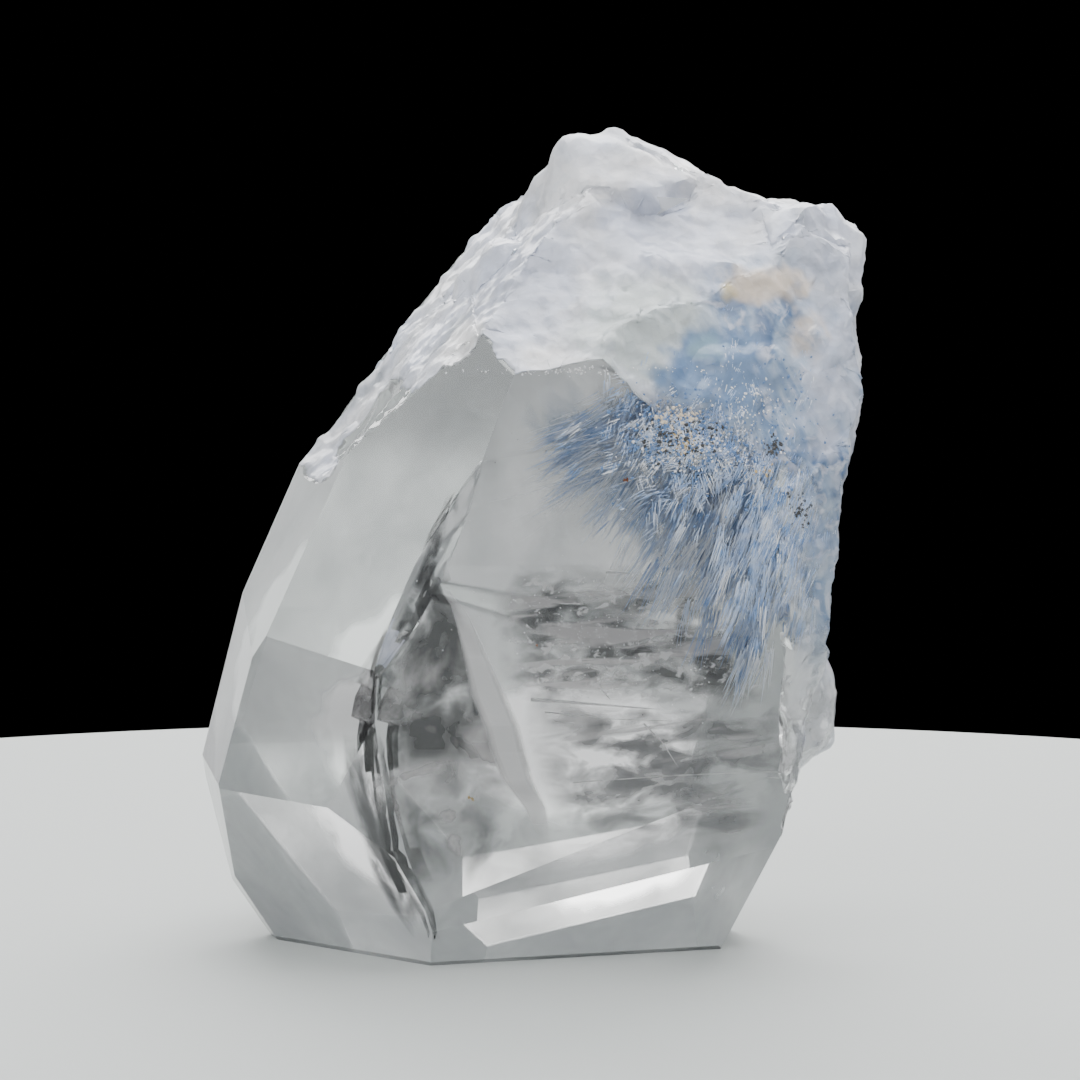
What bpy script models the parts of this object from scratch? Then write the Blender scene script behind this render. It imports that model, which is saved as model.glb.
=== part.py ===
"""A clear quartz crystal, broken at its upper end and down its right side, standing on its flat underside.

Run with: blender --background --python part.py
Sizes are in millimetres and angles in degrees. +Z is up, and the best side faces -Y.
"""

import math
import random

import bmesh
import bpy
from mathutils import Matrix, Vector, noise

MM = 0.001

# Every reach below is measured from this point inside the crystal.
CENTRE = Vector((0.0, 0.0, 8.5))
BLANK_SIZE = 20.0

# Flat crystal faces: which way each looks (turn from the front, positive to the right), how far it looks up
# (tilt), and how far it lies from the centre (reach).
CRYSTAL_FACES = {
    "front": (8, -5, 4.31),
    "front_upper": (7, 3, 4.70),
    "front_lower": (14, -20, 5.63),
    "left_front": (-42, 17.5, 4.83),
    "left": (-75.5, 23.7, 5.00),
    "left_step": (-80, 12, 5.74),
    "left_top": (-78, 43, 4.82),
    "left_back": (-127, 18, 5.05),
    "back": (177, 0, 5.15),
    "right_back": (122, -12, 6.00),
    "ledge": (1, 36, 6.23),
    "tip_front": (19, -37, 6.95),
    "tip_lens": (-33, -9.3, 6.10),
    "tip_lens_low": (-45, -27, 7.29),
    "tip_left_front": (-44.5, -1, 5.69),
    "tip_left": (-82, -12, 7.78),
    "tip_left_low": (-76, -33, 9.15),
    "tip_back_left": (-140, -30, 8.00),
    "tip_back": (170, -35, 7.80),
    "tip_right": (85, -27, 7.48),
}

# Broken surfaces: turn, tilt and reach as above, the height of the relief, and the seed of its pattern.
BROKEN_FACES = {
    "top_front": (5, 50, 6.38, 0.85, 3),
    "top_left": (-78, 44, 4.90, 0.8, 11),
    "top_right": (85, 62, 8.90, 0.7, 27),
    "top_back": (178, 42, 7.10, 0.9, 41),
    "right_upper": (92, 2, 6.95, 0.5, 64),
    "right": (92, -9, 6.20, 0.6, 58),
    "right_front": (45, -3, 6.25, 0.5, 73),
    "front_corner": (28, 23, 6.02, 0.55, 35),
}
BROKEN_CELL = 0.42
BROKEN_JITTER = 0.3
BROKEN_SPAN = 24.0
CUTTER_DEPTH = 12.0

# The relief of broken quartz is made of bowls of two widths on a slow swell.
WIDE_BOWL = 2.6
SMALL_BOWL = 1.1
SWELL_WIDTH = 5.0
BOWL_CURVE = 0.55
BOWL_STEP = 0.5

# Lumps that stand up from the broken surfaces: place, half sizes and seed.
LUMPS = {
    "knob": ((5.5, 0.5, 14.2), (1.5, 2.0, 1.9), 5),
    "peak": ((1.7, 1.1, 15.3), (2.3, 2.0, 2.2), 8),
    "shoulder": ((0.0, 0.6, 13.4), (2.0, 2.2, 1.9), 13),
    "right_edge": ((5.0, -0.1, 5.4), (1.4, 2.1, 1.9), 17),
    "right_side": ((5.4, 0.8, 9.7), (1.1, 2.2, 2.8), 22),
}
LUMP_UNEVEN = 0.12
LUMP_RELIEF = 0.2

# Chips: place, the turn and tilt of the long axis, half sizes with the long one last, relief and seed.
CHIPS = {
    "front_edge": ((-2.65, -5.65, 8.7), (88, 63), (1.2, 1.2, 4.9), 0.1, 21),
    "left_corner": ((-1.95, -3.5, 13.5), (30, 20), (0.7, 0.7, 0.8), 0.15, 25),
}
BALL_SPREAD = 3.0

QUARTZ_COLOUR = (0.80, 0.84, 0.87, 1.0)
QUARTZ_ROUGHNESS = 0.08
QUARTZ_IOR = 1.544


def direction(turn, tilt):
    """The unit vector that looks that way: turn 0 is the front, -Y, and 90 is the right, +X."""
    level = math.cos(math.radians(tilt))
    return Vector((
        math.sin(math.radians(turn)) * level,
        -math.cos(math.radians(turn)) * level,
        math.sin(math.radians(tilt)),
    ))


def new_collection(name):
    collection = bpy.data.collections.new(name)
    bpy.context.scene.collection.children.link(collection)
    return collection


def mesh_object(name, bm, collection):
    """Turns a shape in millimetres into an object in metres."""
    bmesh.ops.recalc_face_normals(bm, faces=bm.faces)
    bmesh.ops.scale(bm, vec=(MM, MM, MM), verts=bm.verts)
    mesh = bpy.data.meshes.new(name)
    bm.to_mesh(mesh)
    bm.free()
    thing = bpy.data.objects.new(name, mesh)
    collection.objects.link(thing)
    return thing


def helper(name, bm, collection):
    """A shape that only cuts or joins."""
    thing = mesh_object(name, bm, collection)
    thing.hide_render = True
    thing.display_type = "WIRE"
    return thing


def boolean(thing, other, operation):
    modifier = thing.modifiers.new(operation.lower() + "_" + other.name, "BOOLEAN")
    modifier.object = other
    modifier.operation = operation
    modifier.solver = "EXACT"


def cut_flat(bm, point, outward):
    """Takes off what lies past the plane and closes the cut with one flat face."""
    everything = bm.verts[:] + bm.edges[:] + bm.faces[:]
    cut = bmesh.ops.bisect_plane(
        bm, geom=everything, plane_co=point, plane_no=outward, clear_outer=True
    )["geom_cut"]
    edges = [item for item in cut if isinstance(item, bmesh.types.BMEdge)]
    if edges:
        bmesh.ops.contextual_create(bm, geom=edges)


def crystal_body(collection):
    """The blank cut to its crystal faces and to the flat underside at height 0."""
    bm = bmesh.new()
    bmesh.ops.create_cube(bm, size=BLANK_SIZE)
    bmesh.ops.translate(bm, vec=CENTRE, verts=bm.verts)
    for turn, tilt, reach in CRYSTAL_FACES.values():
        outward = direction(turn, tilt)
        cut_flat(bm, CENTRE + outward * reach, outward)
    cut_flat(bm, Vector((0.0, 0.0, 0.0)), Vector((0.0, 0.0, -1.0)))
    return mesh_object("quartz_crystal", bm, collection)


def scoops(point, width, seed):
    """Depth of the nearest of many shallow bowls, each at its own level, with ridges between them."""
    distances, centres = noise.voronoi((point + Vector((seed * 7.3, seed * 3.1, seed * 5.7))) / width)
    return min(
        BOWL_CURVE * distance * distance + BOWL_STEP * noise.cell(centre * 9.0)
        for distance, centre in zip(distances, centres)
    )


def relief(point, seed):
    """Height of broken quartz at a point, about -0.6 to 0.8."""
    wide = scoops(point, WIDE_BOWL, seed)
    small = scoops(point, SMALL_BOWL, seed + 100)
    swell = noise.noise(point / SWELL_WIDTH + Vector((seed, 0.0, 0.0)))
    return 0.9 * wide + 0.4 * small + 0.5 * swell


def broken_cutter(name, turn, tilt, reach, height, seed, collection):
    """A thick block whose lower side is a broken surface. It takes off what lies past that surface."""
    bm = bmesh.new()
    chance = random.Random(seed)
    cells = round(BROKEN_SPAN / BROKEN_CELL)
    bmesh.ops.create_grid(bm, x_segments=cells, y_segments=cells, size=BROKEN_SPAN / 2)
    shake = BROKEN_JITTER * BROKEN_CELL
    for vertex in bm.verts:
        vertex.co += Vector((chance.uniform(-shake, shake), chance.uniform(-shake, shake), 0.0))
        vertex.co.z = height * relief(vertex.co, seed)
    top = bmesh.ops.extrude_face_region(bm, geom=bm.faces[:])["geom"]
    for item in top:
        if isinstance(item, bmesh.types.BMVert):
            item.co.z = CUTTER_DEPTH
    outward = direction(turn, tilt)
    place = Matrix.Translation(CENTRE + outward * reach) @ outward.to_track_quat("Z", "Y").to_matrix().to_4x4()
    bmesh.ops.transform(bm, matrix=place, verts=bm.verts)
    return helper("cutter_" + name, bm, collection)


def lump(name, place, half_sizes, seed, collection):
    """A rounded, angular block of broken quartz."""
    bm = bmesh.new()
    chance = random.Random(seed)
    bmesh.ops.create_icosphere(bm, subdivisions=2, radius=1.0)
    for vertex in bm.verts:
        vertex.co *= chance.uniform(1.0 - LUMP_UNEVEN, 1.0 + LUMP_UNEVEN)
    bmesh.ops.subdivide_edges(bm, edges=bm.edges, cuts=1, use_grid_fill=True)
    for vertex in bm.verts:
        height = LUMP_RELIEF * relief(vertex.co * BALL_SPREAD, seed)
        vertex.co = vertex.co * Vector(half_sizes) + vertex.co.normalized() * height
    bmesh.ops.translate(bm, vec=place, verts=bm.verts)
    return helper("lump_" + name, bm, collection)


def chip_cutter(name, place, axis, half_sizes, uneven, seed, collection):
    """A long ball that takes a hollow scar out of an edge or a face."""
    bm = bmesh.new()
    bmesh.ops.create_icosphere(bm, subdivisions=3, radius=1.0)
    for vertex in bm.verts:
        height = uneven * relief(vertex.co * BALL_SPREAD, seed)
        vertex.co = vertex.co * Vector(half_sizes) + vertex.co * height
    turned = direction(*axis).to_track_quat("Z", "Y").to_matrix().to_4x4()
    bmesh.ops.transform(bm, matrix=Matrix.Translation(place) @ turned, verts=bm.verts)
    return helper("cutter_" + name, bm, collection)


def quartz_material():
    material = bpy.data.materials.new("clear_quartz")
    material.use_nodes = True
    shader = material.node_tree.nodes["Principled BSDF"]
    shader.inputs["Base Color"].default_value = QUARTZ_COLOUR
    shader.inputs["Roughness"].default_value = QUARTZ_ROUGHNESS
    shader.inputs["Metallic"].default_value = 0.0
    shader.inputs["IOR"].default_value = QUARTZ_IOR
    return material


def centre_on_origin(crystal, helpers):
    """Moves everything so that the origin is under the middle of the crystal."""
    graph = bpy.context.evaluated_depsgraph_get()
    corners = [Vector(corner) for corner in crystal.evaluated_get(graph).bound_box]
    shift = Vector([-(min(values) + max(values)) / 2 for values in zip(*corners)])
    shift.z = -min(corner.z for corner in corners)
    for thing in (crystal, *helpers.objects):
        thing.location += shift


def main():
    for old in list(bpy.data.objects):
        bpy.data.objects.remove(old)
    parts = new_collection("dumortierite_quartz")
    helpers = new_collection("cutters")
    crystal = crystal_body(parts)
    crystal.data.materials.append(quartz_material())
    for name, values in BROKEN_FACES.items():
        boolean(crystal, broken_cutter(name, *values, helpers), "DIFFERENCE")
    for name, values in LUMPS.items():
        boolean(crystal, lump(name, *values, helpers), "UNION")
    for name, values in CHIPS.items():
        boolean(crystal, chip_cutter(name, *values, helpers), "DIFFERENCE")
    centre_on_origin(crystal, helpers)


main()
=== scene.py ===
import math
import random

import bmesh
import bpy
from mathutils import Matrix, Vector, noise
from mathutils.bvhtree import BVHTree
from mathutils.kdtree import KDTree


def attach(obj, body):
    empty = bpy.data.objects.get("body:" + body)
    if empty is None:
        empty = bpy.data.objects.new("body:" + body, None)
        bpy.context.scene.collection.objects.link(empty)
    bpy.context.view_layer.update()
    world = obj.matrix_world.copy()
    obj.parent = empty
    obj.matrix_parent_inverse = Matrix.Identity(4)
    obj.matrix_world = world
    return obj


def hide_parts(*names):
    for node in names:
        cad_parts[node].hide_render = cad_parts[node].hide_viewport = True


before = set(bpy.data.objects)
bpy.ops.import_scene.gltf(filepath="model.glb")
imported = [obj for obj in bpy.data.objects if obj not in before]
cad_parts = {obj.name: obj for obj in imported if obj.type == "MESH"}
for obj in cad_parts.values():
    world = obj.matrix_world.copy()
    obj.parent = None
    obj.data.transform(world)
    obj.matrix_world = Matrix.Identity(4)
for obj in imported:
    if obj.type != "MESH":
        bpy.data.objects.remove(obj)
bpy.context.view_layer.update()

# Lengths below are in millimetres and angles in degrees, unless a note says otherwise.
mm = 0.001
quartzIor = 1.544
print("frame loaded")

# Small helpers
def newMaterial(name):
    material = bpy.data.materials.new(name)
    material.use_nodes = True
    nodes = material.node_tree.nodes
    return material, nodes, material.node_tree.links, nodes["Principled BSDF"]


def deselectAll():
    for thing in bpy.context.selected_objects:
        thing.select_set(False)


def makeActive(thing):
    deselectAll()
    thing.select_set(True)
    bpy.context.view_layer.objects.active = thing


def refracted(direction, normal, ratio):
    # the direction of a ray that passes a surface; the normal looks back at the ray
    cosIn = -direction.dot(normal)
    cosOut = math.sqrt(max(0.0, 1.0 - ratio * ratio * (1.0 - cosIn * cosIn)))
    return (direction * ratio + normal * (ratio * cosIn - cosOut)).normalized()


# Camera. Places on the picture are given as (across, up) from the foot of the crystal's front, at real size.
photoCamera = {
    "elevation": 7.0,
    "distance": 190.0,
    "foot": (0.098, -3.817, 0.0),    # the point of the foot that the picture's places start from
    "aimOffset": (0.096, 9.106),     # how far the optical axis passes to the right of the foot and above it
    "lens": 297.7,
    "sensor": 36.0,
}

tilt = math.radians(photoCamera["elevation"])
viewForward = Vector((0.0, math.cos(tilt), -math.sin(tilt)))
viewRight = Vector((1.0, 0.0, 0.0))
viewUp = viewRight.cross(viewForward)
footPlace = Vector(photoCamera["foot"]) * mm
aimPlace = footPlace + viewRight * photoCamera["aimOffset"][0] * mm + viewUp * photoCamera["aimOffset"][1] * mm
cameraPlace = aimPlace - viewForward * photoCamera["distance"] * mm


def makeCamera():
    data = bpy.data.cameras.new("photoCamera")
    data.lens = photoCamera["lens"]
    data.sensor_width = photoCamera["sensor"]
    data.clip_start = 0.01
    data.clip_end = 10.0
    camera = bpy.data.objects.new("photoCamera", data)
    bpy.context.scene.collection.objects.link(camera)
    camera.location = cameraPlace
    camera.rotation_euler = viewForward.to_track_quat("-Z", "Y").to_euler()
    bpy.context.scene.camera = camera


makeCamera()


# Lights: large soft boxes, a floor and a dark room
studio = {
    "boxes": {
        # name: (place, size, brightness, colour), aimed at the crystal
        "topBox": ((10, 40, 150), (170, 150), 4.4, (1.0, 1.0, 1.0)),
        "backBox": ((10, 150, 98), (170, 125), 5.2, (1.0, 0.99, 0.98)),
        "lowBox": ((0, 170, 12), (420, 60), 0.85, (0.98, 0.99, 1.0)),
        "leftBox": ((-160, -10, 62), (90, 80), 2.8, (0.96, 1.0, 0.98)),
        "rightBox": ((150, 20, 70), (80, 80), 3.2, (0.97, 0.97, 1.0)),
        "frontBox": ((-40, -210, 190), (320, 210), 3.1, (1.0, 1.0, 1.0)),
    },
    "boxAim": (0, 0, 8),
    "room": (0.30, 0.30, 0.305),     # seen in the quartz but not behind it
    "floorRadius": 33.0,
    "floorThickness": 1.0,
    "floorColour": (0.50, 0.53, 0.52, 1.0),
}


def makeStudio():
    for name, (place, size, brightness, colour) in studio["boxes"].items():
        light = bpy.data.lights.new(name, "AREA")
        light.shape = "RECTANGLE"
        light.size = size[0] * mm
        light.size_y = size[1] * mm
        light.color = colour
        light.energy = brightness * math.pi * light.size * light.size_y
        lamp = bpy.data.objects.new(name, light)
        bpy.context.scene.collection.objects.link(lamp)
        lamp.location = Vector(place) * mm
        lamp.rotation_euler = (Vector(studio["boxAim"]) - Vector(place)).to_track_quat("-Z", "Y").to_euler()
        lamp.visible_camera = False
    world = bpy.data.worlds.new("room")
    bpy.context.scene.world = world
    world.use_nodes = True
    world.node_tree.nodes["Background"].inputs["Color"].default_value = (*studio["room"], 1.0)
    world.cycles_visibility.camera = False
    bpy.ops.mesh.primitive_cylinder_add(
        vertices=160, radius=studio["floorRadius"] * mm, depth=studio["floorThickness"] * mm,
        location=(0, 0, -studio["floorThickness"] * mm / 2),
    )
    floor = bpy.context.object
    floor.name = "floor"
    material, nodes, links, shader = newMaterial("paleFloor")
    shader.inputs["Base Color"].default_value = studio["floorColour"]
    shader.inputs["Roughness"].default_value = 0.7
    floor.data.materials.append(material)


makeStudio()
print("camera, lights and floor made")


# Shared effects: cloudy masks and round patches with ragged edges
def groupSockets(group, inputs, outputs):
    for name, kind, value in inputs:
        socket = group.interface.new_socket(name=name, in_out="INPUT", socket_type="NodeSocket" + kind)
        socket.default_value = value
    for name, kind in outputs:
        group.interface.new_socket(name=name, in_out="OUTPUT", socket_type="NodeSocket" + kind)
    nodes = group.nodes
    return nodes, group.links, nodes.new("NodeGroupInput"), nodes.new("NodeGroupOutput")


def makeCloudGroup():
    # a mask that is 0 below From and 1 above To of a noise
    group = bpy.data.node_groups.new("cloudMask", "ShaderNodeTree")
    nodes, links, given, result = groupSockets(
        group,
        (("Scale", "Float", 500.0), ("Detail", "Float", 3.0), ("Warp", "Float", 0.3), ("From", "Float", 0.4),
         ("To", "Float", 0.6), ("Stretch", "Vector", (1.0, 1.0, 1.0)), ("Turn", "Float", 0.0)),
        (("Mask", "Float"),),
    )
    place = nodes.new("ShaderNodeTexCoord")
    turn = nodes.new("ShaderNodeVectorRotate")
    turn.rotation_type = "Y_AXIS"
    stretch = nodes.new("ShaderNodeVectorMath")
    stretch.operation = "MULTIPLY"
    cloud = nodes.new("ShaderNodeTexNoise")
    cut = nodes.new("ShaderNodeMapRange")
    links.new(place.outputs["Object"], turn.inputs["Vector"])
    links.new(given.outputs["Turn"], turn.inputs["Angle"])
    links.new(turn.outputs["Vector"], stretch.inputs[0])
    links.new(given.outputs["Stretch"], stretch.inputs[1])
    links.new(stretch.outputs["Vector"], cloud.inputs["Vector"])
    links.new(given.outputs["Scale"], cloud.inputs["Scale"])
    links.new(given.outputs["Detail"], cloud.inputs["Detail"])
    links.new(given.outputs["Warp"], cloud.inputs["Distortion"])
    links.new(cloud.outputs["Fac"], cut.inputs["Value"])
    links.new(given.outputs["From"], cut.inputs["From Min"])
    links.new(given.outputs["To"], cut.inputs["From Max"])
    links.new(cut.outputs["Result"], result.inputs["Mask"])
    return group


def makePatchGroup():
    # a mask that is 1 inside a ball and fades out past it along a ragged edge
    group = bpy.data.node_groups.new("raggedPatch", "ShaderNodeTree")
    nodes, links, given, result = groupSockets(
        group,
        (("Centre", "Vector", (0.0, 0.0, 0.0)), ("Shape", "Vector", (1.0, 1.0, 1.0)), ("Radius", "Float", 1.0),
         ("Fade", "Float", 0.5), ("Rag", "Float", 0.5), ("Rag Scale", "Float", 1.0)),
        (("Mask", "Float"),),
    )
    place = nodes.new("ShaderNodeTexCoord")
    scaled = nodes.new("ShaderNodeVectorMath")
    scaled.operation = "SCALE"
    scaled.inputs["Scale"].default_value = 1.0 / mm
    away = nodes.new("ShaderNodeVectorMath")
    away.operation = "SUBTRACT"
    shaped = nodes.new("ShaderNodeVectorMath")
    shaped.operation = "MULTIPLY"
    length = nodes.new("ShaderNodeVectorMath")
    length.operation = "LENGTH"
    rag = nodes.new("ShaderNodeTexNoise")
    rag.inputs["Detail"].default_value = 1.5
    shift = nodes.new("ShaderNodeMath")
    shift.operation = "MULTIPLY_ADD"
    outer = nodes.new("ShaderNodeMath")
    outer.operation = "ADD"
    cut = nodes.new("ShaderNodeMapRange")
    cut.interpolation_type = "SMOOTHSTEP"
    cut.inputs["To Min"].default_value = 1.0
    cut.inputs["To Max"].default_value = 0.0
    links.new(place.outputs["Object"], scaled.inputs[0])
    links.new(scaled.outputs["Vector"], away.inputs[0])
    links.new(given.outputs["Centre"], away.inputs[1])
    links.new(away.outputs["Vector"], shaped.inputs[0])
    links.new(given.outputs["Shape"], shaped.inputs[1])
    links.new(shaped.outputs["Vector"], length.inputs[0])
    links.new(scaled.outputs["Vector"], rag.inputs["Vector"])
    links.new(given.outputs["Rag Scale"], rag.inputs["Scale"])
    links.new(rag.outputs["Fac"], shift.inputs[0])
    links.new(given.outputs["Rag"], shift.inputs[1])
    links.new(length.outputs["Value"], shift.inputs[2])
    links.new(given.outputs["Radius"], outer.inputs[0])
    links.new(given.outputs["Fade"], outer.inputs[1])
    links.new(shift.outputs["Value"], cut.inputs["Value"])
    links.new(given.outputs["Radius"], cut.inputs["From Min"])
    links.new(outer.outputs["Value"], cut.inputs["From Max"])
    links.new(cut.outputs["Result"], result.inputs["Mask"])
    return group


def makeFacetGroup():
    # small flat pieces of many levels, as on broken quartz: a random tone and a height for each piece
    group = bpy.data.node_groups.new("brokenFacets", "ShaderNodeTree")
    nodes, links, given, result = groupSockets(
        group,
        (("Scale", "Float", 1000.0), ("Bend", "Float", 0.3)),
        (("Tone", "Float"), ("Height", "Float")),
    )
    place = nodes.new("ShaderNodeTexCoord")
    bend = nodes.new("ShaderNodeTexNoise")
    bend.inputs["Detail"].default_value = 1.0
    shift = nodes.new("ShaderNodeVectorMath")
    shift.operation = "MULTIPLY_ADD"
    scaled = nodes.new("ShaderNodeVectorMath")
    scaled.operation = "SCALE"
    cells = nodes.new("ShaderNodeTexVoronoi")
    cells.inputs["Scale"].default_value = 1.0
    split = nodes.new("ShaderNodeSeparateColor")
    links.new(place.outputs["Object"], scaled.inputs[0])
    links.new(given.outputs["Scale"], scaled.inputs["Scale"])
    links.new(scaled.outputs["Vector"], bend.inputs["Vector"])
    bend.inputs["Scale"].default_value = 0.8
    links.new(bend.outputs["Color"], shift.inputs[0])
    links.new(given.outputs["Bend"], shift.inputs[1])
    links.new(scaled.outputs["Vector"], shift.inputs[2])
    links.new(shift.outputs["Vector"], cells.inputs["Vector"])
    links.new(cells.outputs["Color"], split.inputs["Color"])
    links.new(split.outputs["Red"], result.inputs["Tone"])
    tilt = nodes.new("ShaderNodeMath")
    tilt.operation = "MULTIPLY_ADD"
    links.new(cells.outputs["Distance"], tilt.inputs[0])
    links.new(split.outputs["Green"], tilt.inputs[1])
    links.new(split.outputs["Blue"], tilt.inputs[2])
    links.new(tilt.outputs["Value"], result.inputs["Height"])
    return group


cloudGroup = makeCloudGroup()
patchGroup = makePatchGroup()
facetGroup = makeFacetGroup()


def cloud(nodes, scale, low, high, detail=3.0, warp=0.3, stretch=(1.0, 1.0, 1.0), turn=0.0):
    # scale is in clouds a millimetre; turn leans the stretched clouds in the plane of the front, in degrees
    node = nodes.new("ShaderNodeGroup")
    node.node_tree = cloudGroup
    node.inputs["Scale"].default_value = scale / mm
    node.inputs["Detail"].default_value = detail
    node.inputs["Warp"].default_value = warp
    node.inputs["From"].default_value = low
    node.inputs["To"].default_value = high
    node.inputs["Stretch"].default_value = stretch
    node.inputs["Turn"].default_value = math.radians(turn)
    return node.outputs["Mask"]


def patch(nodes, centre, radius, fade, rag, shape=(1.0, 1.0, 1.0), ragScale=1.2):
    node = nodes.new("ShaderNodeGroup")
    node.node_tree = patchGroup
    node.inputs["Centre"].default_value = centre
    node.inputs["Shape"].default_value = shape
    node.inputs["Radius"].default_value = radius + rag / 2
    node.inputs["Fade"].default_value = fade
    node.inputs["Rag"].default_value = rag
    node.inputs["Rag Scale"].default_value = ragScale
    return node.outputs["Mask"]


def facets(nodes, scale, bend):
    # scale is in pieces a millimetre
    node = nodes.new("ShaderNodeGroup")
    node.node_tree = facetGroup
    node.inputs["Scale"].default_value = scale / mm
    node.inputs["Bend"].default_value = bend
    return node.outputs["Tone"], node.outputs["Height"]


def mixColour(nodes, links, factor, first, second, blend="MIX"):
    # each of factor, first and second is a socket or a value
    node = nodes.new("ShaderNodeMix")
    node.data_type = "RGBA"
    node.blend_type = blend
    for socket, value in ((node.inputs[0], factor), (node.inputs[6], first), (node.inputs[7], second)):
        if isinstance(value, bpy.types.NodeSocket):
            links.new(value, socket)
        else:
            socket.default_value = value
    return node.outputs[2]


def mathNode(nodes, links, operation, first, second=0.0, clamp=False):
    node = nodes.new("ShaderNodeMath")
    node.operation = operation
    node.use_clamp = clamp
    for socket, value in ((node.inputs[0], first), (node.inputs[1], second)):
        if isinstance(value, bpy.types.NodeSocket):
            links.new(value, socket)
        else:
            socket.default_value = value
    return node.outputs["Value"]


# Clear crystal: a fine copy of the CAD crystal
crystalLook = {
    "flatArea": 1.0,             # faces larger than this are crystal faces, in square millimetres
    "flatAngle": 0.6,            # triangles within this angle make one face
    "brokenCuts": 3,
    "reliefs": (("CLOUDS", 0.55, 0.16), ("VORONOI", 0.45, 0.10), ("CLOUDS", 0.16, 0.05)),
    "sharpAngle": 32.0,
    "brokenRoughness": 0.14,
    "slope": (-0.72, -0.15, 0.68),   # the way that the frosted crystal face at the upper left looks
    "slopeCell": 0.4,
    "rimStart": 1.7,
    "rimWidth": 1.5,
    "chipFrost": 0.25,
    "etched": (0.5, 2.5),            # from the middle of the crystal to its etched back
    "etchedRoughness": 0.18,
}


def cutSlope(crystal):
    # the frosted face is cut to small cells, so that it takes relief as the broken surfaces do
    slope = Vector(crystalLook["slope"]).normalized()
    bpy.ops.object.mode_set(mode="EDIT")
    bpy.ops.mesh.select_mode(type="FACE")
    bpy.ops.mesh.select_all(action="DESELECT")
    bpy.ops.object.mode_set(mode="OBJECT")
    for face in crystal.data.polygons:
        face.select = face.normal.dot(slope) > 0.998
    bpy.ops.object.mode_set(mode="EDIT")
    upward = slope.cross(Vector((0.0, 1.0, 0.0))).normalized()
    sideways = slope.cross(upward).normalized()
    middle = Vector((-1.5, -0.5, 14.0)) * mm
    for along in (upward, sideways):
        for step in range(-14, 15):
            bpy.ops.mesh.bisect(
                plane_co=middle + along * step * crystalLook["slopeCell"] * mm, plane_no=along, threshold=1e-7,
            )
            bpy.ops.mesh.select_all(action="DESELECT")
            bpy.ops.object.mode_set(mode="OBJECT")
            for face in crystal.data.polygons:
                face.select = face.normal.dot(slope) > 0.998
            bpy.ops.object.mode_set(mode="EDIT")
    bpy.ops.object.mode_set(mode="OBJECT")


def frostValues(crystal, inner):
    # 0 on crystal faces; on broken surfaces 1, less near the right part of the front face, where the quartz
    # clears up little by little, and least on the chipped front edge
    clear = KDTree(len(inner))
    for index, isInner in enumerate(inner):
        place = crystal.data.vertices[index].co
        if not isInner and place.x > crystalLook["rimStart"] * mm and place.y < 0.0:
            clear.insert(place, index)
    clear.balance()
    values = []
    for vertex, isInner in zip(crystal.data.vertices, inner):
        onEdge = vertex.co.x < -0.3 * mm and vertex.co.y < 0.0 and vertex.co.z < 12.2 * mm
        if not isInner:
            values.append(0.0)
        elif onEdge and vertex.co.x + vertex.co.z * 0.45 > 0.6 * mm:
            values.append(crystalLook["chipFrost"])
        else:
            away = clear.find(vertex.co)[2] / (crystalLook["rimWidth"] * mm)
            values.append(0.51 + 0.49 * min(1.0, away))
    return values


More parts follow.
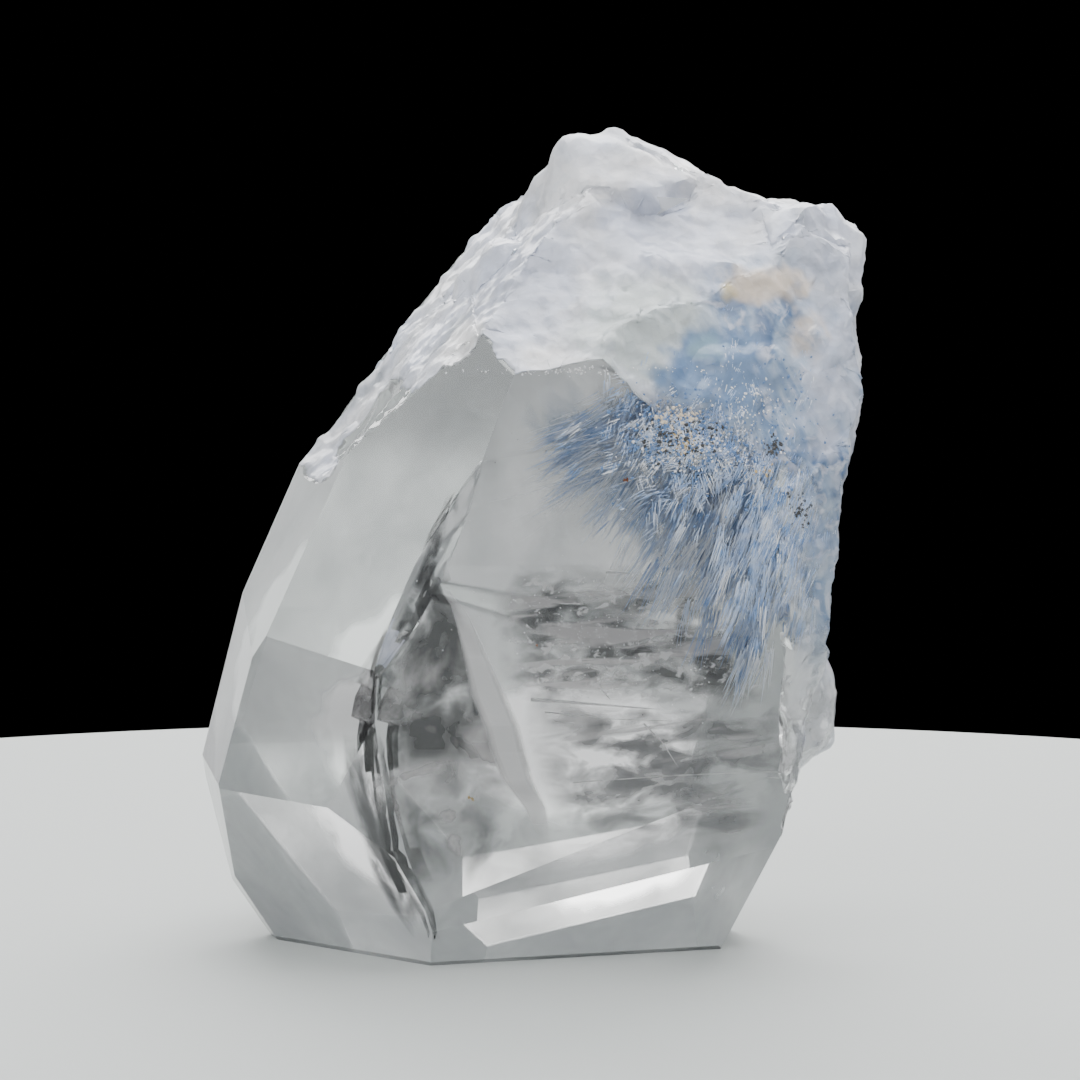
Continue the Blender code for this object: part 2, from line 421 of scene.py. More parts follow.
def makeCrystal():
    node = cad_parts["quartz_crystal"]
    crystal = bpy.data.objects.new("clear_crystal", node.data.copy())
    bpy.context.scene.collection.objects.link(crystal)
    crystal.data.materials.clear()
    makeActive(crystal)
    bpy.ops.object.mode_set(mode="EDIT")
    bpy.ops.mesh.select_all(action="SELECT")
    bpy.ops.mesh.remove_doubles(threshold=0.002 * mm)
    bpy.ops.mesh.dissolve_limited(angle_limit=math.radians(crystalLook["flatAngle"]))
    bpy.ops.object.mode_set(mode="OBJECT")
    cutSlope(crystal)
    flatArea = crystalLook["flatArea"] * mm * mm
    broken = [face.area < flatArea for face in crystal.data.polygons]
    outline = BVHTree.FromPolygons(
        [vertex.co.copy() for vertex in crystal.data.vertices],
        [face.vertices[:] for face in crystal.data.polygons],
    )
    # broken surfaces are divided, rounded and given relief; crystal faces stay flat
    bpy.ops.object.mode_set(mode="EDIT")
    bpy.ops.mesh.select_mode(type="FACE")
    bpy.ops.mesh.select_all(action="DESELECT")
    bpy.ops.object.mode_set(mode="OBJECT")
    for face, isBroken in zip(crystal.data.polygons, broken):
        face.select = isBroken
    bpy.ops.object.mode_set(mode="EDIT")
    bpy.ops.mesh.quads_convert_to_tris()
    bpy.ops.mesh.subdivide(number_cuts=crystalLook["brokenCuts"], smoothness=0.6)
    bpy.ops.object.mode_set(mode="OBJECT")
    inner = [True] * len(crystal.data.vertices)
    for face in crystal.data.polygons:
        if not face.select:
            for index in face.vertices:
                inner[index] = False
    group = crystal.vertex_groups.new(name="broken")
    group.add([index for index, inside in enumerate(inner) if inside], 1.0, "REPLACE")
    for number, (kind, width, height) in enumerate(crystalLook["reliefs"]):
        texture = bpy.data.textures.new("brokenRelief%d" % number, kind)
        texture.noise_scale = width * mm
        relief = crystal.modifiers.new("relief%d" % number, "DISPLACE")
        relief.texture = texture
        relief.texture_coords = "LOCAL"
        relief.mid_level = 0.5
        relief.strength = height * mm
        relief.vertex_group = "broken"
        bpy.ops.object.modifier_apply(modifier=relief.name)
    bpy.ops.object.mode_set(mode="EDIT")
    bpy.ops.mesh.faces_shade_smooth()
    bpy.ops.mesh.select_mode(type="EDGE")
    bpy.ops.mesh.select_all(action="DESELECT")
    bpy.ops.mesh.edges_select_sharp(sharpness=math.radians(crystalLook["sharpAngle"]))
    bpy.ops.mesh.mark_sharp()
    bpy.ops.object.mode_set(mode="OBJECT")
    frost = crystal.data.attributes.new("frost", "FLOAT", "POINT")
    frost.data.foreach_set("value", frostValues(crystal, inner))
    crystal.vertex_groups.clear()
    crystal.data.materials.append(clearQuartzMaterial())
    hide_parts("quartz_crystal")
    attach(crystal, "root")
    print("crystal", len(crystal.data.polygons), "faces")
    return crystal, outline, broken


def backMask(nodes, links):
    # 0 in the front half of the crystal and 1 at its back
    place = nodes.new("ShaderNodeTexCoord")
    split = nodes.new("ShaderNodeSeparateXYZ")
    links.new(place.outputs["Object"], split.inputs["Vector"])
    back = nodes.new("ShaderNodeMapRange")
    back.inputs["From Min"].default_value = crystalLook["etched"][0] * mm
    back.inputs["From Max"].default_value = crystalLook["etched"][1] * mm
    links.new(split.outputs["Y"], back.inputs["Value"])
    return back.outputs["Result"]


def clearQuartzMaterial():
    material, nodes, links, shader = newMaterial("clearQuartz")
    shader.inputs["Base Color"].default_value = (0.985, 0.99, 0.988, 1.0)
    shader.inputs["Transmission Weight"].default_value = 1.0
    shader.inputs["IOR"].default_value = quartzIor
    frosty = nodes.new("ShaderNodeAttribute")
    frosty.attribute_name = "frost"
    rough = mathNode(nodes, links, "MULTIPLY", frosty.outputs["Fac"], crystalLook["brokenRoughness"])
    etched = mathNode(nodes, links, "MULTIPLY", backMask(nodes, links), crystalLook["etchedRoughness"])
    links.new(mathNode(nodes, links, "MAXIMUM", rough, etched), shader.inputs["Roughness"])
    absorption = nodes.new("ShaderNodeVolumeAbsorption")
    absorption.inputs["Color"].default_value = (0.86, 0.95, 0.93, 1.0)
    absorption.inputs["Density"].default_value = 12.0
    links.new(absorption.outputs["Volume"], nodes["Material Output"].inputs["Volume"])
    return material


crystal, outlineTree, brokenFace = makeCrystal()
fineTree = BVHTree.FromPolygons(
    [vertex.co.copy() for vertex in crystal.data.vertices],
    [face.vertices[:] for face in crystal.data.polygons],
)
frontNormal = Vector((0.139, -0.987, -0.087)).normalized()


def inside(across, up, depth):
    # a place inside the quartz that is seen at (across, up) on the picture, at that depth along the bent ray
    towards = (footPlace + viewRight * across * mm + viewUp * up * mm - cameraPlace).normalized()
    place, normal, index, distance = outlineTree.ray_cast(cameraPlace, towards)
    if place is None:
        return None
    if brokenFace[index]:
        normal = frontNormal
    bent = refracted(towards, normal, 1.0 / quartzIor)
    far = outlineTree.ray_cast(place + bent * 0.01 * mm, bent)[3]
    room = far if far else 0.0
    return place + bent * min(depth * mm, max(room - 0.2 * mm, 0.02 * mm))


def onSurface(across, up, height):
    # a place that height above the fine surface, seen at (across, up) on the picture
    towards = (footPlace + viewRight * across * mm + viewUp * up * mm - cameraPlace).normalized()
    place, normal, index, distance = fineTree.ray_cast(cameraPlace, towards)
    if place is None:
        return None
    return place - towards * height * mm


# Frosty crust on the broken surfaces
crustLook = {
    "lift": 0.02,
    "thickness": 0.035,
    "white": (0.90, 0.90, 0.92, 1.0),
    # painted highlight: the white chip facets by the ledge are made lighter where they catch the light
    "facetHighlight": (0.97, 0.96, 0.96, 1.0),
    "lavender": (0.66, 0.70, 0.82, 1.0),
    "greenish": (0.70, 0.76, 0.75, 1.0),
    "shadow": (0.50, 0.53, 0.58, 1.0),
    "blue": (0.10, 0.19, 0.36, 1.0),
    "midBlue": (0.22, 0.34, 0.54, 1.0),
    "paleBlue": (0.48, 0.58, 0.72, 1.0),
    "turquoise": (0.34, 0.52, 0.62, 1.0),
    "cream": (0.86, 0.74, 0.62, 1.0),
    "ochre": (0.80, 0.64, 0.30, 1.0),
    "dark": (0.14, 0.15, 0.15, 1.0),
    "fibreTurn": 28.0,           # how far the streaks lean from upright
    "tints": (
        # place, radius, fade, raggedness, shape, tint
        # painted highlight on the chip facets by the ledge
        ((-1.4, -3.4, 13.2), 0.5, 0.3, 0.5, (1, 0.4, 0.9), "facetHighlight"),
        ((0.1, -3.4, 12.95), 0.35, 0.4, 0.6, (0.8, 0.4, 1.2), "facetHighlight"),
        ((2.3, -3.2, 13.6), 0.6, 1.0, 1.2, (0.8, 0.4, 1.0), "greenish"),
        ((-0.2, -2.5, 14.6), 0.5, 1.0, 1.4, (0.8, 0.4, 1), "lavender"),
        ((2.6, -1.6, 15.6), 0.5, 0.8, 1.2, (0.8, 0.4, 1), "lavender"),
        ((6.3, -0.8, 12.0), 0.6, 0.8, 1.4, (1.2, 0.4, 0.5), "lavender"),
        ((3.8, -2.6, 12.6), 0.85, 0.5, 1.0, (0.8, 0.4, 1.1), "midBlue"),
        ((3.7, -2.9, 13.2), 0.15, 0.4, 0.6, (1, 0.4, 1.3), "turquoise"),
        ((3.05, -3.1, 12.75), 0.22, 0.35, 0.4, (1, 0.4, 1.4), "blue"),
        ((4.9, -2.0, 14.45), 0.28, 0.35, 0.7, (0.5, 0.4, 1.2), "cream"),
        ((5.75, -1.2, 13.3), 0.38, 0.35, 0.5, (1, 0.4, 0.9), "cream"),
        ((4.1, -2.4, 14.3), 0.10, 0.2, 0.35, (1, 0.4, 0.9), "ochre"),
        ((4.5, -2.2, 15.6), 0.05, 0.25, 0.4, (1, 0.4, 1), "cream"),
        ((6.2, -1.3, 13.95), 0.05, 0.15, 0.25, (1, 0.4, 1), "dark"),
        ((3.2, -3.0, 13.75), 0.04, 0.15, 0.3, (0.7, 0.4, 1), "dark"),
        ((5.1, -2.6, 11.1), 0.12, 0.2, 0.3, (1, 0.4, 1), "dark"),
        ((5.65, -2.3, 9.75), 0.10, 0.2, 0.3, (1, 0.4, 0.8), "dark"),
    ),
}


def makeCrust():
    crust = bpy.data.objects.new("frosty_crust", crystal.data.copy())
    bpy.context.scene.collection.objects.link(crust)
    crust.data.materials.clear()
    makeActive(crust)
    frost = crust.data.attributes["frost"].data
    keep = [all(frost[index].value > 0.5 for index in face.vertices) for face in crust.data.polygons]
    bpy.ops.object.mode_set(mode="EDIT")
    bpy.ops.mesh.select_mode(type="FACE")
    bpy.ops.mesh.select_all(action="DESELECT")
    bpy.ops.object.mode_set(mode="OBJECT")
    for face, kept in zip(crust.data.polygons, keep):
        face.select = not kept
    bpy.ops.object.mode_set(mode="EDIT")
    bpy.ops.mesh.delete(type="FACE")
    bpy.ops.mesh.select_all(action="SELECT")
    bpy.ops.transform.shrink_fatten(value=crustLook["lift"] * mm)
    bpy.ops.object.mode_set(mode="OBJECT")
    shell = crust.modifiers.new("shell", "SOLIDIFY")
    shell.thickness = crustLook["thickness"] * mm
    shell.offset = -1.0
    bpy.ops.object.modifier_apply(modifier=shell.name)
    crust.data.materials.append(crustMaterial())
    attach(crust, "root")
    print("crust", len(crust.data.polygons), "faces")


def crustMaterial():
    material, nodes, links, shader = newMaterial("frostyCrust")
    look = crustLook
    lean = look["fibreTurn"]
    largeTone, largeHeight = facets(nodes, 1.3, 0.8)
    smallTone, smallHeight = facets(nodes, 4.5, 0.6)
    colour = mixColour(nodes, links, cloud(nodes, 0.45, 0.38, 0.62), look["white"], look["lavender"])
    colour = mixColour(nodes, links, cloud(nodes, 0.7, 0.56, 0.7, detail=5.0), colour, look["shadow"])
    fibres = cloud(nodes, 1.4, 0.36, 0.62, detail=6.0, warp=0.8, stretch=(2.4, 2.4, 0.5), turn=lean)
    blue = mixColour(nodes, links, fibres, look["midBlue"], look["paleBlue"])
    blue = mixColour(nodes, links, cloud(nodes, 0.8, 0.5, 0.62, detail=5.0, warp=1.0), blue, look["blue"])
    flecks = cloud(nodes, 2.2, 0.54, 0.66, detail=5.0, warp=1.2)
    blue = mixColour(nodes, links, flecks, blue, look["lavender"])
    zone = patch(nodes, (4.9, -2.4, 10.3), 1.8, 1.3, 1.8, shape=(0.85, 0.4, 0.58), ragScale=0.8)
    colour = mixColour(nodes, links, zone, colour, blue)
    for centre, radius, fade, rag, shape, tint in look["tints"]:
        spot = patch(nodes, centre, radius, fade, rag, shape=shape, ragScale=2.2)
        colour = mixColour(nodes, links, spot, colour, look[tint])
    tone = mathNode(nodes, links, "MULTIPLY_ADD", largeTone, 0.5)
    tone.node.inputs[2].default_value = 0.0
    tone = mathNode(nodes, links, "MULTIPLY", mathNode(nodes, links, "ADD", tone, smallTone), 0.24)
    colour = mixColour(nodes, links, tone, colour, (0.55, 0.62, 0.72, 1.0), blend="MULTIPLY")
    links.new(colour, shader.inputs["Base Color"])
    shader.inputs["Roughness"].default_value = 0.34
    shader.inputs["Coat Weight"].default_value = 0.5
    shader.inputs["Coat Roughness"].default_value = 0.08
    place = nodes.new("ShaderNodeTexCoord")
    split = nodes.new("ShaderNodeSeparateXYZ")
    links.new(place.outputs["Object"], split.inputs["Vector"])
    height = nodes.new("ShaderNodeMapRange")
    height.inputs["From Min"].default_value = 4.5 * mm
    height.inputs["From Max"].default_value = 13.0 * mm
    height.inputs["To Min"].default_value = 0.10
    height.inputs["To Max"].default_value = 0.80
    links.new(split.outputs["Z"], height.inputs["Value"])
    ragged = mathNode(nodes, links, "MULTIPLY", cloud(nodes, 0.9, 0.3, 0.65, detail=5.0), 0.45)
    alpha = mathNode(nodes, links, "ADD", height.outputs["Result"], ragged)
    alpha = mathNode(nodes, links, "SUBTRACT", alpha, 0.14, clamp=True)
    rim = nodes.new("ShaderNodeAttribute")
    rim.attribute_name = "frost"
    opened = nodes.new("ShaderNodeMapRange")
    opened.inputs["From Min"].default_value = 0.51
    links.new(rim.outputs["Fac"], opened.inputs["Value"])
    torn = mathNode(nodes, links, "ADD", opened.outputs["Result"], cloud(nodes, 1.6, 0.45, 0.85, detail=3.0), clamp=True)
    torn = mathNode(nodes, links, "MULTIPLY", torn, opened.outputs["Result"])
    torn = mathNode(nodes, links, "MULTIPLY", torn, 1.5, clamp=True)
    links.new(mathNode(nodes, links, "MULTIPLY", alpha, torn), shader.inputs["Alpha"])
    grain = nodes.new("ShaderNodeBump")
    grain.inputs["Strength"].default_value = 0.6
    grain.inputs["Distance"].default_value = 0.05 * mm
    links.new(smallHeight, grain.inputs["Height"])
    pieces = nodes.new("ShaderNodeBump")
    pieces.inputs["Strength"].default_value = 0.5
    pieces.inputs["Distance"].default_value = 0.12 * mm
    links.new(largeHeight, pieces.inputs["Height"])
    links.new(grain.outputs["Normal"], pieces.inputs["Normal"])
    links.new(pieces.outputs["Normal"], shader.inputs["Normal"])
    return material


makeCrust()


# Dumortierite: bundles of fine needles that fan out from knots near the broken side
fibreLook = {
    "deep": (0.07, 0.17, 0.42, 1.0),
    "middle": (0.24, 0.42, 0.74, 1.0),
    "pale": (0.90, 0.93, 0.98, 1.0),
    "sprays": {
        # name: (root, root spread, angles, starts along the fan, lengths, depths, thickness, shades, bundles, needles)
        # angles run anticlockwise from the right as seen in the picture; shade 0 is deep blue and 1 is pale
        "left_fan": ((2.7, 11.8), 0.5, (196, 236), (0.2, 2.2), (0.5, 1.5), (0.15, 0.8), (0.005, 0.012), (0.5, 1.0), 84, 10),
        "blue_blades": ((2.6, 12.3), 0.5, (205, 226), (0.2, 2.2), (0.8, 1.8), (0.2, 0.6), (0.008, 0.018), (0.3, 0.6), 16, 22),
        "white_lines": ((2.4, 11.1), 0.5, (188, 206), (0.0, 1.0), (1.6, 3.4), (0.1, 0.5), (0.004, 0.009), (1.0, 1.0), 18, 3),
        "lower_fan": ((3.2, 11.2), 0.8, (220, 254), (0.2, 1.9), (0.4, 1.3), (0.15, 0.8), (0.005, 0.014), (0.3, 1.0), 96, 11),
        "dark_strand": ((3.95, 10.7), 0.2, (244, 262), (0.0, 1.2), (0.5, 1.2), (0.2, 0.5), (0.008, 0.018), (0.0, 0.3), 12, 12),
        "pale_fan": ((4.0, 10.2), 0.5, (228, 246), (0.0, 1.8), (0.5, 1.5), (0.15, 0.7), (0.008, 0.018), (0.9, 1.0), 44, 7),
        "right_fan": ((4.7, 11.2), 0.9, (236, 260), (0.2, 3.0), (0.5, 1.6), (0.12, 0.8), (0.008, 0.02), (0.0, 1.0), 170, 11),
        "right_lower": ((5.2, 9.2), 0.7, (242, 262), (0.0, 2.4), (0.4, 1.4), (0.12, 0.8), (0.008, 0.02), (0.1, 1.0), 70, 11),
    },
    "surfaceSprays": {
        "knot": ((3.3, 11.5), 1.6, (190, 300), (0.0, 0.4), (0.15, 0.5), (-0.01, 0.02), (0.006, 0.014), (0.1, 1.0), 260, 7),
        "right_side": ((5.4, 10.2), 1.5, (240, 266), (0.0, 2.0), (0.3, 1.1), (-0.01, 0.02), (0.006, 0.014), (0.0, 1.0), 260, 8),
        "upper_right": ((4.6, 12.4), 1.4, (235, 290), (0.0, 0.4), (0.2, 0.6), (-0.01, 0.02), (0.006, 0.014), (0.2, 1.0), 140, 7),
    },
    "bend": 7.0,                 # how far a needle turns along its length, at most
    "bundleSpread": 2.5,         # how far the needles of a bundle differ in direction
    "bundleWidth": 0.08,
    "rings": 4,
    "sides": 3,
}


def needleSurface(strands, name, material):
    # strands is a list of (points, thickness, shade)
    vertices, faces, shades = [], [], []
    sides = fibreLook["sides"]
    for points, thickness, shade in strands:
        first = len(vertices)
        along = (points[-1] - points[0]).normalized()
        across = along.orthogonal().normalized()
        other = along.cross(across)
        for step, point in enumerate(points[:-1]):
            width = thickness * mm * (1.0 - 0.75 * step / (len(points) - 1))
            for side in range(sides):
                angle = 2.0 * math.pi * side / sides
                vertices.append(point + (across * math.cos(angle) + other * math.sin(angle)) * width)
        tip = len(vertices)
        vertices.append(points[-1])
        faces.append([first + side for side in reversed(range(sides))])
        for step in range(len(points) - 2):
            base = first + step * sides
            for side in range(sides):
                beside = (side + 1) % sides
                faces.append([base + side, base + beside, base + sides + beside, base + sides + side])
        last = first + (len(points) - 2) * sides
        for side in range(sides):
            faces.append([last + side, last + (side + 1) % sides, tip])
        shades.extend([shade] * (len(vertices) - first))
    mesh = bpy.data.meshes.new(name)
    mesh.from_pydata(vertices, [], faces)
    mesh.attributes.new("shade", "FLOAT", "POINT").data.foreach_set("value", shades)
    mesh.materials.append(material)
    thing = bpy.data.objects.new(name, mesh)
    bpy.context.scene.collection.objects.link(thing)
    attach(thing, "root")
    print(name, len(faces), "faces")
    return thing


def fibreMaterial():
    material, nodes, links, shader = newMaterial("dumortierite")
    shade = nodes.new("ShaderNodeAttribute")
    shade.attribute_name = "shade"
    ramp = nodes.new("ShaderNodeValToRGB")
    ramp.color_ramp.elements[0].color = fibreLook["deep"]
    ramp.color_ramp.elements[1].color = fibreLook["pale"]
    middle = ramp.color_ramp.elements.new(0.5)
    middle.color = fibreLook["middle"]
    links.new(shade.outputs["Fac"], ramp.inputs["Fac"])
    streaks = cloud(nodes, 3.0, 0.35, 0.7)
    colour = mixColour(nodes, links, mathNode(nodes, links, "MULTIPLY", streaks, 0.5), ramp.outputs["Color"],
                       fibreLook["pale"])
    links.new(colour, shader.inputs["Base Color"])
    shader.inputs["Roughness"].default_value = 0.35
    return material


def sprayStrands(chance, values, placeAt):
    root, spread, angles, starts, lengths, depths, widths, shades, bundles, needles = values
    steps = fibreLook["rings"]
    strands = []
    for bundle in range(bundles):
        middle = Vector(root) + Vector((chance.gauss(0, spread / 2), chance.gauss(0, spread / 2)))
        heading = chance.uniform(*angles)
        towards = Vector((math.cos(math.radians(heading)), math.sin(math.radians(heading))))
        middle += towards * chance.uniform(*starts)
        bend = chance.uniform(-1, 1) * fibreLook["bend"]
        reach = chance.uniform(*lengths)
        tint = chance.uniform(*shades)
        depth = chance.uniform(*depths)
        for number in range(needles):
            place = middle + Vector((chance.gauss(0, 1), chance.gauss(0, 1))) * fibreLook["bundleWidth"]
            angle = heading + chance.gauss(0, fibreLook["bundleSpread"])
            length = reach * chance.uniform(0.4, 1.0)
            slope = chance.uniform(-0.1, 0.1) * length if depths[1] > 0.05 else 0.0
            points = []
            for step in range(steps + 1):
                share = step / steps
                point = placeAt(place.x, place.y, depth + slope * share)
                if point is None:
                    break
                points.append(point)
                turned = math.radians(angle + bend * share)
                place += Vector((math.cos(turned), math.sin(turned))) * length / steps
            if len(points) < 3:
                continue
            hops = [(after - before).length for before, after in zip(points, points[1:])]
            if max(hops) > 2.0 * length * mm / steps:
                continue
            shade = min(1.0, max(0.0, tint + chance.gauss(0, 0.12)))
            strands.append((points, chance.uniform(*widths), shade))
    return strands


def makeFibres():
    chance = random.Random(7)
    material = fibreMaterial()
    for name, values in fibreLook["sprays"].items():
        needleSurface(sprayStrands(chance, values, inside), "fibres_" + name, material)
    for name, values in fibreLook["surfaceSprays"].items():
        needleSurface(sprayStrands(chance, values, onSurface), "fibres_" + name, material)


makeFibres()


# Milky skin just inside the back faces, which softens what is seen through the crystal
skinLook = {
    "depth": 0.10,
    "thickness": 0.012,
    "pale": (0.93, 0.95, 0.945, 1.0),
    "dim": (0.70, 0.72, 0.73, 1.0),
    "opening": (0.5, 5.0, 4.3),      # where the back stays clear, and lights up the foot
}


def makeSkin():
    skin = bpy.data.objects.new("milky_skin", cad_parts["quartz_crystal"].data.copy())
    bpy.context.scene.collection.objects.link(skin)
    skin.data.materials.clear()
    makeActive(skin)
    bpy.ops.object.mode_set(mode="EDIT")
    bpy.ops.mesh.select_mode(type="FACE")
    bpy.ops.mesh.select_all(action="SELECT")
    bpy.ops.mesh.remove_doubles(threshold=0.002 * mm)
    bpy.ops.mesh.dissolve_limited(angle_limit=math.radians(crystalLook["flatAngle"]))
    bpy.ops.transform.shrink_fatten(value=-skinLook["depth"] * mm, use_even_offset=True)
    bpy.ops.mesh.select_all(action="DESELECT")
    bpy.ops.object.mode_set(mode="OBJECT")
    flatArea = crystalLook["flatArea"] * mm * mm
    for face in skin.data.polygons:
        isBack = face.normal.y > 0.3 or face.normal.z < -0.9
        face.select = not (isBack and face.area > flatArea)
    bpy.ops.object.mode_set(mode="EDIT")
    bpy.ops.mesh.delete(type="FACE")
    bpy.ops.object.mode_set(mode="OBJECT")
    shell = skin.modifiers.new("shell", "SOLIDIFY")
    shell.thickness = skinLook["thickness"] * mm
    bpy.ops.object.modifier_apply(modifier=shell.name)
    skin.data.materials.append(skinMaterial())
    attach(skin, "root")


def skinMaterial():
    material, nodes, links, shader = newMaterial("milkySkin")
    tone = cloud(nodes, 0.35, 0.35, 0.65, detail=1.0)
    links.new(mixColour(nodes, links, tone, skinLook["pale"], skinLook["dim"]), shader.inputs["Base Color"])
    shader.inputs["Roughness"].default_value = 0.6
    broad = cloud(nodes, 0.4, 0.25, 0.7, detail=3.0)
    alpha = mathNode(nodes, links, "ADD", mathNode(nodes, links, "MULTIPLY", broad, 0.4), 0.22)
    opening = patch(nodes, skinLook["opening"], 0.9, 1.0, 0.8, shape=(0.7, 0.3, 1.0))
    alpha = mathNode(nodes, links, "SUBTRACT", alpha, opening, clamp=True)
    links.new(alpha, shader.inputs["Alpha"])
    return material


makeSkin()
print("skin made")


# Veils: healed cracks and growth layers inside the quartz, and dark sheets of painted shade, as thin sheets seen
# through its faces
veilLook = {
    "thickness": 0.010,
    "columns": 12,
    "between": 4,                # rows of the mesh between two given rows
    "ripple": 0.06,
    # the dark, dusk and grey tones are painted shade, standing for the dark surroundings seen through the quartz;
    # haze, white and blue are its own clouding, flakes and fibres
    "dark": (0.05, 0.052, 0.056, 1.0),
    "duskShade": (0.10, 0.102, 0.106, 1.0),
    "greyShade": (0.20, 0.20, 0.21, 1.0),
    "haze": (0.86, 0.83, 0.84, 1.0),
    "white": (0.94, 0.93, 0.94, 1.0),
    "blue": (0.50, 0.61, 0.76, 1.0),
    "sheets": {
        # name: (softness of the border, tones, rows)
        # a tone is (colour, density, cloud scale, low, high, stretch, turn), and later tones lie over earlier ones
        # a row is (up, left, right, depth at the left, depth at the right)
        # painted shade: a dark triangle seen through the front, under a real milky haze
        "triangle_veil": (0.12, (
            ("dark", 0.85, 1.1, 0.28, 0.56, (1, 1, 1), 0),
            ("haze", 0.55, 0.9, 0.50, 0.70, (1, 1, 1), 0),
        ), (
            (8.5, -2.0, -1.85, 1.5, 1.5), (7.6, -2.3, -1.6, 1.6, 1.5), (6.98, -2.65, -1.4, 1.7, 1.5),
            (6.3, -3.1, -1.15, 1.8, 1.6), (5.7, -3.5, -0.9, 1.9, 1.6), (4.85, -3.75, -0.35, 2.0, 1.7),
            (4.2, -3.75, -0.1, 2.0, 1.7))),
        # painted shade again, fainter below the triangle, under a real milky haze
        "lower_triangle_veil": (0.25, (
            ("duskShade", 0.55, 1.0, 0.36, 0.64, (1, 1, 1), 0),
            ("haze", 0.8, 0.8, 0.46, 0.64, (1, 1, 1), 0),
        ), (
            (5.2, -3.75, -0.3, 1.5, 1.3), (4.2, -3.75, 0.0, 1.5, 1.3), (3.5, -3.7, 0.25, 1.5, 1.3),
            (2.5, -3.4, 0.4, 1.5, 1.3), (1.6, -3.0, 0.3, 1.5, 1.3))),
        "bright_band": (0.25, (
            ("white", 1.0, 0.6, 0.1, 0.3, (1, 1, 1), 0),
        ), (
            (8.1, -1.92, -1.78, 0.6, 0.6), (7.4, -1.72, -1.36, 0.6, 0.6), (6.6, -1.54, -0.98, 0.6, 0.6),
            (5.8, -1.40, -0.60, 0.7, 0.6), (5.15, -1.12, -0.32, 0.7, 0.6), (4.6, -0.98, -0.2, 0.8, 0.7),
            (4.0, -0.72, -0.05, 0.8, 0.7), (3.4, -0.25, 0.24, 0.8, 0.7), (2.7, 0.1, 0.3, 0.8, 0.7))),
        # painted shade in a dark mottle, with a real milky haze and white flakes over it
        "mottled_veil": (0.2, (
            ("duskShade", 0.85, 1.4, 0.34, 0.62, (1, 1, 1.5), 0),
            ("haze", 0.8, 0.9, 0.50, 0.58, (0.35, 0.35, 2.6), 4),
            ("white", 0.9, 3.4, 0.56, 0.63, (1, 1, 1.6), 0),
        ), (
            (8.6, -0.4, 3.4, 0.9, 1.0), (7.9, -0.75, 4.2, 0.9, 1.1), (7.4, -0.9, 4.5, 1.0, 1.1),
            (6.8, -0.85, 4.9, 1.0, 1.2), (6.1, -0.8, 5.1, 1.1, 1.2), (5.6, -0.3, 5.0, 1.2, 1.3))),
        # painted shade in a grey mottle, with real milky growth layers over it
        "layered_veil": (0.2, (
            ("greyShade", 0.85, 1.1, 0.38, 0.60, (0.8, 0.8, 1.6), 3),
            ("haze", 0.55, 0.9, 0.50, 0.62, (0.35, 0.35, 2.6), 4),
        ), (
            (5.9, -0.2, 5.0, 1.3, 1.4), (5.2, -0.3, 5.5, 1.3, 1.4), (4.6, -0.2, 5.6, 1.4, 1.5),
            (4.0, 0.0, 5.4, 1.4, 1.5), (3.4, 0.3, 5.1, 1.5, 1.6), (2.4, 0.4, 4.6, 1.5, 1.6))),
        # painted shade: a dark band along the left edge
        "edge_band": (0.25, (
            ("dark", 0.7, 2.2, 0.36, 0.60, (1, 1, 0.7), -20),
        ), (
            (10.2, -1.85, -1.6, 0.3, 0.3), (9.4, -2.15, -1.85, 0.3, 0.3), (8.6, -2.4, -2.0, 0.3, 0.3),
            (7.9, -2.7, -2.15, 0.35, 0.3), (7.2, -3.1, -2.3, 0.4, 0.35), (6.6, -3.45, -2.6, 0.4, 0.35),
            (6.0, -3.6, -3.0, 0.4, 0.4), (5.3, -3.85, -3.4, 0.4, 0.4))),
        "foot_shade": (0.2, (
            ("dark", 0.7, 1.2, 0.36, 0.6, (1.6, 1.6, 0.5), 10),
        ), (
            (5.0, -4.1, -3.4, 0.6, 0.5), (4.0, -4.1, -3.2, 0.7, 0.6), (3.0, -3.8, -3.0, 0.7, 0.6),
            (2.0, -3.5, -2.8, 0.7, 0.6), (1.3, -3.1, -2.4, 0.6, 0.5), (0.6, -2.6, -2.0, 0.4, 0.3))),
        "blue_haze": (0.3, (
            ("blue", 0.8, 1.2, 0.34, 0.62, (1.6, 1.6, 0.5), 40),
        ), (
            (12.7, 0.3, 2.3, 0.9, 1.0), (12.1, -0.2, 2.6, 0.9, 1.0), (11.5, -0.5, 3.0, 1.0, 1.1),
            (11.0, 0.0, 3.6, 1.0, 1.1), (10.4, 0.9, 4.1, 1.1, 1.2), (9.7, 1.4, 4.5, 1.1, 1.2),
            (8.9, 2.2, 4.9, 1.2, 1.3), (7.8, 3.6, 5.4, 1.2, 1.3))),
    },
    "streaks": (
        # three places along the streak, depth and half width
        ((-0.1, 5.72), (1.2, 5.62), (2.7, 5.5), 1.2, 0.05),
        ((0.2, 5.45), (1.6, 5.3), (3.1, 5.25), 1.2, 0.02),
        ((1.5, 8.42), (2.1, 8.4), (2.6, 8.36), 0.5, 0.03),
        ((0.8, 8.0), (1.8, 7.95), (2.8, 7.88), 0.6, 0.02),
        ((0.8, 3.95), (3.0, 4.1), (5.5, 4.2), 1.2, 0.018),
        ((2.3, 5.2), (2.7, 4.8), (3.05, 4.25), 1.2, 0.022),
        ((1.33, 6.02), (1.45, 5.87), (1.6, 5.7), 0.8, 0.03),
    ),
}


